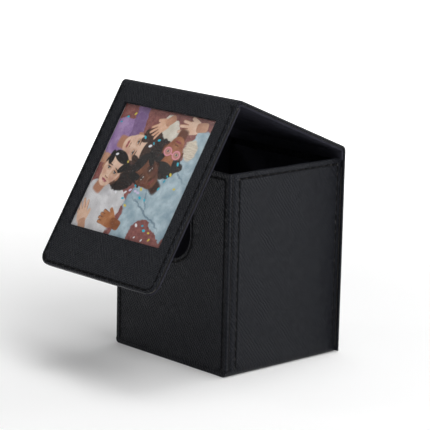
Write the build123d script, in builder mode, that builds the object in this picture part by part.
from build123d import *
import os
from math import cos, radians, sin

# Box for square instant prints, covered in black leather cloth.
# An open box with a thumb notch in its front wall is wrapped by a hinged cover: a back panel,
# a lid that rises from the back, and a flap that hangs in front of the box and frames one print.
# X runs across the box, Y from front to back and Z up. The origin is the centre of the footprint.
# The lid is modelled half open. Sizes are in millimetres and angles in degrees.

# ---------------------------------------------------------------- driving dimensions
print_width, print_height, print_card, print_ink = 72.0, 86.0, 0.55, 0.05
image_side, print_top_border = 62.0, 7.0

leather, lining = 0.45, 0.25
wall_board, base_board_thickness = 1.3, 2.1
box_width, box_depth, box_height = 76.6, 70.6, 93.2
base_edge_radius = 2.4
back_wall_drop = 4.0
notch_radius, notch_height = 12.4, 61.2

cover_width = 79.0
back_panel_thickness, back_panel_low, back_panel_top = 1.3, 0.6, 92.2
strip_thickness, rear_bend_radius, fold_radius = 0.9, 3.0, 2.6

hinge_behind_box, hinge_above_box = 1.6, 0.5
lid_angle, lid_shut_angle = 22.5, -1.45
lid_offset, lid_thickness = 4.0, 2.5
lid_near, lid_far, fold_distance = 4.2, 73.0, 73.76

flap_angle = 31.5
flap_near, flap_far, flap_corner_radius = 1.0, 92.2, 5.5
frame_board_thickness, film_thickness, pocket_depth, back_board_thickness = 0.85, 0.1, 0.8, 0.75
window_side, window_top = 62.0, 9.3
pocket_side, pocket_top, pocket_bottom = 36.3, 2.2, 88.8

magnet_radius, magnet_spacing, magnet_down_flap = 4.0, 48.0, 81.5

stitch_pitch, stitch_length, stitch_width, stitch_height = 4.5, 3.4, 0.55, 0.2
flap_stitch_inset, panel_stitch_inset, side_front_stitch_inset = 1.5, 2.8, 6.2
side_back_stitch_inset, notch_stitch_inset = 2.4, 1.9

# ---------------------------------------------------------------- worked-out sizes and places
skin = leather + wall_board
wall = skin + lining
base_top = leather + base_board_thickness
half_width, half_depth, half_cover = box_width / 2, box_depth / 2, cover_width / 2
inner_half_width = half_width - wall
side_front, side_back = -half_depth + wall, half_depth
back_wall_front = half_depth - wall

hinge_axis = Vector(0, half_depth + hinge_behind_box, box_height + hinge_above_box)


def lid_frame(angle):
    """Direction from the hinge to the fold, and outward normal, of the lid at an angle above level."""
    return Vector(0, -cos(radians(angle)), sin(radians(angle))), Vector(0, sin(radians(angle)), cos(radians(angle)))


def fold_place(angle):
    """Centre of the fold between lid and flap, with the lid at an angle above level."""
    along, outward = lid_frame(angle)
    return hinge_axis + along * fold_distance + outward * (lid_offset - fold_radius)


lid_along, lid_normal = lid_frame(lid_angle)
flap_normal = Vector(0, -cos(radians(flap_angle)), sin(radians(flap_angle)))
flap_down = Vector(0, -sin(radians(flap_angle)), -cos(radians(flap_angle)))
fold_axis = fold_place(lid_angle)

# Local Y of both planes points back towards the hinge that the panel hangs from.
lid_plane = Plane(origin=hinge_axis, x_dir=(1, 0, 0), z_dir=lid_normal)
flap_plane = Plane(origin=fold_axis, x_dir=(1, 0, 0), z_dir=flap_normal)

# Faces that carry stitches. Each plane's normal points out of the box.
front_face = Plane.XZ.offset(half_depth)
right_face = Plane(origin=(half_width, 0, 0), x_dir=(0, 1, 0), z_dir=(1, 0, 0))
lid_face = lid_plane.offset(lid_offset)
flap_face = flap_plane.offset(fold_radius)

# Heights of the flap's layers above its own plane, from the outer face inwards.
flap_cover_under = fold_radius - leather
film_top = flap_cover_under - frame_board_thickness
pocket_ceiling = film_top - film_thickness
pocket_floor = pocket_ceiling - pocket_depth
flap_lining_top = pocket_floor - back_board_thickness
flap_inside = flap_lining_top - lining
print_base = pocket_floor + (pocket_depth - print_card - print_ink) / 2
print_top = window_top + (window_side - image_side) / 2 - print_top_border

lid_inside = lid_offset - lid_thickness
lid_board_under, lid_board_top = lid_inside + lining, lid_offset - leather


# ---------------------------------------------------------------- outlines, drawn in the active sketch
def span(x_low, x_high, y_low, y_high, mode=Mode.ADD):
    """Rectangle between two corners."""
    with Locations(((x_low + x_high) / 2, (y_low + y_high) / 2)):
        Rectangle(x_high - x_low, y_high - y_low, mode=mode)


def front_outline(inset):
    """Front wall with its thumb notch, drawn in from every edge by inset."""
    span(-half_width + inset, half_width - inset, base_top + inset, box_height - inset)
    radius = notch_radius + inset
    with Locations((0, notch_height)):
        Circle(radius, mode=Mode.SUBTRACT)
    span(-radius, radius, notch_height, box_height, mode=Mode.SUBTRACT)


def flap_outline(inset):
    """Flap with two rounded lower corners, drawn in by inset except at the fold."""
    half = half_cover - inset
    span(-half, half, -flap_far + inset, -flap_near)
    fillet(vertices().group_by(Axis.Y)[0], flap_corner_radius - inset)


def window_outline(grow, mode=Mode.SUBTRACT):
    """Square window of the flap, larger by grow on each side."""
    half = window_side / 2 + grow
    span(-half, half, -window_top - window_side - grow, -window_top + grow, mode=mode)


def magnet_outlines(height, mode):
    """Two discs, side by side at a height in the sketch."""
    with Locations((-magnet_spacing / 2, height), (magnet_spacing / 2, height)):
        Circle(magnet_radius, mode=mode)


def strip_outline(start, corner, end, radius):
    """Cross-section of a leather strip that bends once between two panels."""
    with BuildLine() as outline:
        FilletPolyline(start, corner, end, radius=radius)
        offset(amount=strip_thickness, side=Side.LEFT)
    make_face(outline.edges())


def stitch_places(seam, outward):
    """Evenly spaced places along a seam line, each turned along it."""
    count = round(seam.length / stitch_pitch)
    shares = [(step + 0.5) / count for step in range(count)]
    return [Plane(origin=seam @ share, x_dir=seam % share, z_dir=outward).location for share in shares]


def sew(seams, outward):
    """Stitches of thread along each seam, standing on the face with this outward normal."""
    for seam in seams:
        with Locations(*stitch_places(seam, outward)):
            Box(stitch_length, stitch_width, stitch_height, align=(Align.CENTER, Align.CENTER, Align.MIN))


# ---------------------------------------------------------------- sides and base, in one U-shaped leather cover
with BuildPart() as base_board:
    with BuildSketch(Plane.XY.offset(leather)):
        Rectangle(box_width - 2 * leather, box_depth - 2 * leather)
    extrude(amount=base_board_thickness)
    fillet(edges().filter_by(Axis.Y).group_by(Axis.Z)[0], base_edge_radius - leather)

with BuildPart() as right_board:
    with BuildSketch(right_face.offset(-leather)):
        span(side_front + leather, side_back - leather, base_top, box_height - leather)
    extrude(amount=-wall_board)

with BuildPart() as left_board:
    mirror(right_board.part, about=Plane.YZ)

with BuildPart() as shell_cover:
    with BuildSketch(Plane.XY):
        Rectangle(box_width, box_depth)
    extrude(amount=base_top)
    fillet(edges().filter_by(Axis.Y).group_by(Axis.Z)[0], base_edge_radius)
    with BuildSketch(right_face):
        span(side_front, side_back, base_top, box_height)
    extrude(amount=-skin)
    mirror(about=Plane.YZ)
    add([base_board.part, left_board.part, right_board.part], mode=Mode.SUBTRACT)

with BuildPart() as right_lining:
    with BuildSketch(right_face.offset(-skin)):
        span(side_front, side_back, base_top, box_height)
    extrude(amount=-lining)

with BuildPart() as left_lining:
    mirror(right_lining.part, about=Plane.YZ)

with BuildPart() as base_lining:
    with BuildSketch(Plane.XY.offset(base_top)):
        span(-inner_half_width, inner_half_width, side_front, back_wall_front)
    extrude(amount=lining)

# ---------------------------------------------------------------- front wall
with BuildLine(front_face) as notch_seam:
    seam_side, seam_top = notch_radius + notch_stitch_inset, box_height - panel_stitch_inset
    Line((-seam_side, seam_top), (-seam_side, notch_height))
    CenterArc((0, notch_height), seam_side, 180, 180)
    Line((seam_side, notch_height), (seam_side, seam_top))

front_seams = [notch_seam.wires()[0]]
for way in (-1, 1):
    with BuildLine(front_face) as edge_seam:
        seam_x = way * (half_width - panel_stitch_inset)
        Polyline((seam_x, base_top + leather), (seam_x, seam_top), (way * seam_side, seam_top))
    front_seams.append(edge_seam.wires()[0])

closed_magnet_height = fold_place(lid_shut_angle).Z - magnet_down_flap
with BuildPart() as front_board:
    with BuildSketch(front_face.offset(-leather)):
        front_outline(leather)
        magnet_outlines(closed_magnet_height, Mode.SUBTRACT)
    extrude(amount=-wall_board)

with BuildPart() as front_cover:
    with BuildSketch(front_face):
        front_outline(0)
    extrude(amount=-skin)
    with BuildSketch(front_face.offset(-leather)):
        front_outline(leather)
    extrude(amount=-wall_board, mode=Mode.SUBTRACT)

with BuildPart() as front_lining:
    with BuildSketch(front_face.offset(-skin)):
        front_outline(0)
    extrude(amount=-lining)

with BuildPart() as front_stitching:
    sew(front_seams, front_face.z_dir)

with BuildPart() as box_magnets:
    with BuildSketch(front_face.offset(-leather)):
        magnet_outlines(closed_magnet_height, Mode.ADD)
    extrude(amount=-wall_board)

with BuildPart() as side_stitching:
    with BuildLine(right_face) as side_seam:
        front_y, back_y = -half_depth + side_front_stitch_inset, side_back - side_back_stitch_inset
        Polyline((front_y, base_edge_radius), (front_y, seam_top), (back_y, seam_top), (back_y, base_edge_radius))
    sew(side_seam.wires(), right_face.z_dir)
    mirror(about=Plane.YZ)

# ---------------------------------------------------------------- inner back wall
back_wall_top = box_height - back_wall_drop
with BuildPart() as back_board:
    with BuildSketch(Plane.XZ.offset(-half_depth)):
        span(-inner_half_width, inner_half_width, base_top, back_wall_top - lining)
    extrude(amount=wall - lining)

with BuildPart() as back_lining:
    with BuildSketch(Plane.XZ.offset(-half_depth)):
        span(-inner_half_width, inner_half_width, base_top, back_wall_top)
    extrude(amount=wall)
    add(back_board.part, mode=Mode.SUBTRACT)

# ---------------------------------------------------------------- back panel of the wrap-round cover
with BuildPart() as back_panel_board:
    with BuildSketch(Plane.XZ.offset(-half_depth)):
        span(-half_cover + leather, half_cover - leather, back_panel_low + leather, back_panel_top)
    extrude(amount=-(back_panel_thickness - leather))

with BuildPart() as back_panel_cover:
    with BuildSketch(Plane.XZ.offset(-half_depth)):
        span(-half_cover, half_cover, back_panel_low, back_panel_top)
    extrude(amount=-back_panel_thickness)
    add(back_panel_board.part, mode=Mode.SUBTRACT)

# ---------------------------------------------------------------- leather hinges
# The rear strip runs up the back panel's outer face and over into the lid's outer face.
back_panel_y = half_depth + back_panel_thickness
corner_rise = (lid_offset - (back_panel_y - hinge_axis.Y) * lid_normal.Y) / lid_normal.Z
rear_corner = Vector(0, back_panel_y, hinge_axis.Z + corner_rise)
lid_start = hinge_axis + lid_normal * lid_offset + lid_along * lid_near
with BuildPart() as rear_hinge_strip:
    with BuildSketch(Plane.YZ):
        strip_outline(
            (back_panel_y, back_panel_top),
            (rear_corner.Y, rear_corner.Z),
            (lid_start.Y, lid_start.Z),
            rear_bend_radius,
        )
    extrude(amount=half_cover, both=True)

# The front strip bends round the fold's centre, from the lid's outer face to the flap's.
lid_end = hinge_axis + lid_normal * lid_offset + lid_along * lid_far
flap_start = fold_axis + flap_normal * fold_radius + flap_down * flap_near
fold_corner = fold_axis + (lid_normal + flap_normal) * (fold_radius / (1 + lid_normal.dot(flap_normal)))
with BuildPart() as fold_hinge_strip:
    with BuildSketch(Plane.YZ):
        strip_outline(
            (lid_end.Y, lid_end.Z),
            (fold_corner.Y, fold_corner.Z),
            (flap_start.Y, flap_start.Z),
            fold_radius,
        )
    extrude(amount=half_cover, both=True)

# ---------------------------------------------------------------- lid
with BuildPart() as lid_board:
    with BuildSketch(lid_plane.offset(lid_board_under)):
        span(-half_cover + leather, half_cover - leather, -lid_far, -lid_near)
    extrude(amount=lid_board_top - lid_board_under)

with BuildPart() as lid_cover:
    with BuildSketch(lid_plane.offset(lid_board_under)):
        span(-half_cover, half_cover, -lid_far, -lid_near)
    extrude(amount=lid_offset - lid_board_under)
    add(lid_board.part, mode=Mode.SUBTRACT)

with BuildPart() as lid_lining:
    with BuildSketch(lid_plane.offset(lid_inside)):
        span(-half_cover, half_cover, -lid_far, -lid_near)
    extrude(amount=lining)

with BuildPart() as lid_stitching:
    for way in (-1, 1):
        with BuildLine(lid_face) as lid_seam:
            seam_x = way * (half_cover - flap_stitch_inset)
            Line((seam_x, -lid_near), (seam_x, -lid_far))
        sew(lid_seam.wires(), lid_face.z_dir)

# ---------------------------------------------------------------- flap, a picture frame with a pocket open at its right side
with BuildPart() as flap_frame_board:
    with BuildSketch(flap_plane.offset(film_top)):
        flap_outline(leather)
        window_outline(leather)
        magnet_outlines(-magnet_down_flap, Mode.SUBTRACT)
    extrude(amount=frame_board_thickness)

with BuildPart() as flap_cover:
    with BuildSketch(flap_plane.offset(film_top)):
        flap_outline(0)
        window_outline(0)
    extrude(amount=fold_radius - film_top)
    with BuildSketch(flap_plane.offset(film_top)):
        flap_outline(leather)
        window_outline(leather)
    extrude(amount=frame_board_thickness, mode=Mode.SUBTRACT)
    # Left and lower edges are wrapped to the back board; the right edge leaves the pocket open.
    with BuildSketch(flap_plane.offset(film_top)):
        flap_outline(0)
        span(-half_cover + leather, half_cover, -pocket_bottom, -flap_near, mode=Mode.SUBTRACT)
        with BuildSketch(mode=Mode.SUBTRACT):
            flap_outline(leather)
    extrude(amount=flap_lining_top - film_top)

with BuildPart() as window_film:
    with BuildSketch(flap_plane.offset(pocket_ceiling)):
        flap_outline(leather)
    extrude(amount=film_thickness)

with BuildPart() as pocket_spacer:
    with BuildSketch(flap_plane.offset(pocket_floor)):
        flap_outline(leather)
        span(-pocket_side, half_cover, -pocket_bottom, -pocket_top, mode=Mode.SUBTRACT)
    extrude(amount=pocket_depth)

with BuildPart() as flap_back_board:
    with BuildSketch(flap_plane.offset(flap_lining_top)):
        flap_outline(leather)
    extrude(amount=back_board_thickness)

with BuildPart() as flap_lining:
    with BuildSketch(flap_plane.offset(flap_inside)):
        flap_outline(0)
    extrude(amount=lining)

with BuildPart() as flap_magnets:
    with BuildSketch(flap_plane.offset(film_top)):
        magnet_outlines(-magnet_down_flap, Mode.ADD)
    extrude(amount=frame_board_thickness)

with BuildPart() as flap_stitching:
    with BuildLine(flap_face) as flap_seam:
        seam_x, seam_low = half_cover - flap_stitch_inset, -flap_far + flap_stitch_inset
        corners = [(-seam_x, -flap_near), (-seam_x, seam_low), (seam_x, seam_low), (seam_x, -flap_near)]
        FilletPolyline(*corners, radius=flap_corner_radius - flap_stitch_inset)
    sew(flap_seam.wires(), flap_face.z_dir)

# ---------------------------------------------------------------- the print in the pocket
with BuildPart() as print_sheet:
    with BuildSketch(flap_plane.offset(print_base)):
        span(-print_width / 2, print_width / 2, -print_top - print_height, -print_top)
    extrude(amount=print_card)

with BuildPart() as print_image:
    with BuildSketch(flap_plane.offset(print_base + print_card)):
        image_top = print_top + print_top_border
        span(-image_side / 2, image_side / 2, -image_top - image_side, -image_top)
    extrude(amount=print_ink)

# ---------------------------------------------------------------- one STEP file for each piece
pieces = {
    "base_board": base_board,
    "left_board": left_board,
    "right_board": right_board,
    "shell_cover": shell_cover,
    "left_lining": left_lining,
    "right_lining": right_lining,
    "base_lining": base_lining,
    "side_stitching": side_stitching,
    "front_board": front_board,
    "front_cover": front_cover,
    "front_lining": front_lining,
    "front_stitching": front_stitching,
    "box_magnets": box_magnets,
    "back_board": back_board,
    "back_lining": back_lining,
    "back_panel_board": back_panel_board,
    "back_panel_cover": back_panel_cover,
    "rear_hinge_strip": rear_hinge_strip,
    "lid_board": lid_board,
    "lid_cover": lid_cover,
    "lid_lining": lid_lining,
    "lid_stitching": lid_stitching,
    "fold_hinge_strip": fold_hinge_strip,
    "flap_frame_board": flap_frame_board,
    "flap_cover": flap_cover,
    "window_film": window_film,
    "pocket_spacer": pocket_spacer,
    "flap_back_board": flap_back_board,
    "flap_lining": flap_lining,
    "flap_magnets": flap_magnets,
    "flap_stitching": flap_stitching,
    "print_sheet": print_sheet,
    "print_image": print_image,
}

os.makedirs("parts", exist_ok=True)
for name, piece in pieces.items():
    piece.part.label = name
    export_step(piece.part, f"parts/{name}.step")

print("hinge axis", hinge_axis, "fold axis", fold_axis, "magnet height", closed_magnet_height)
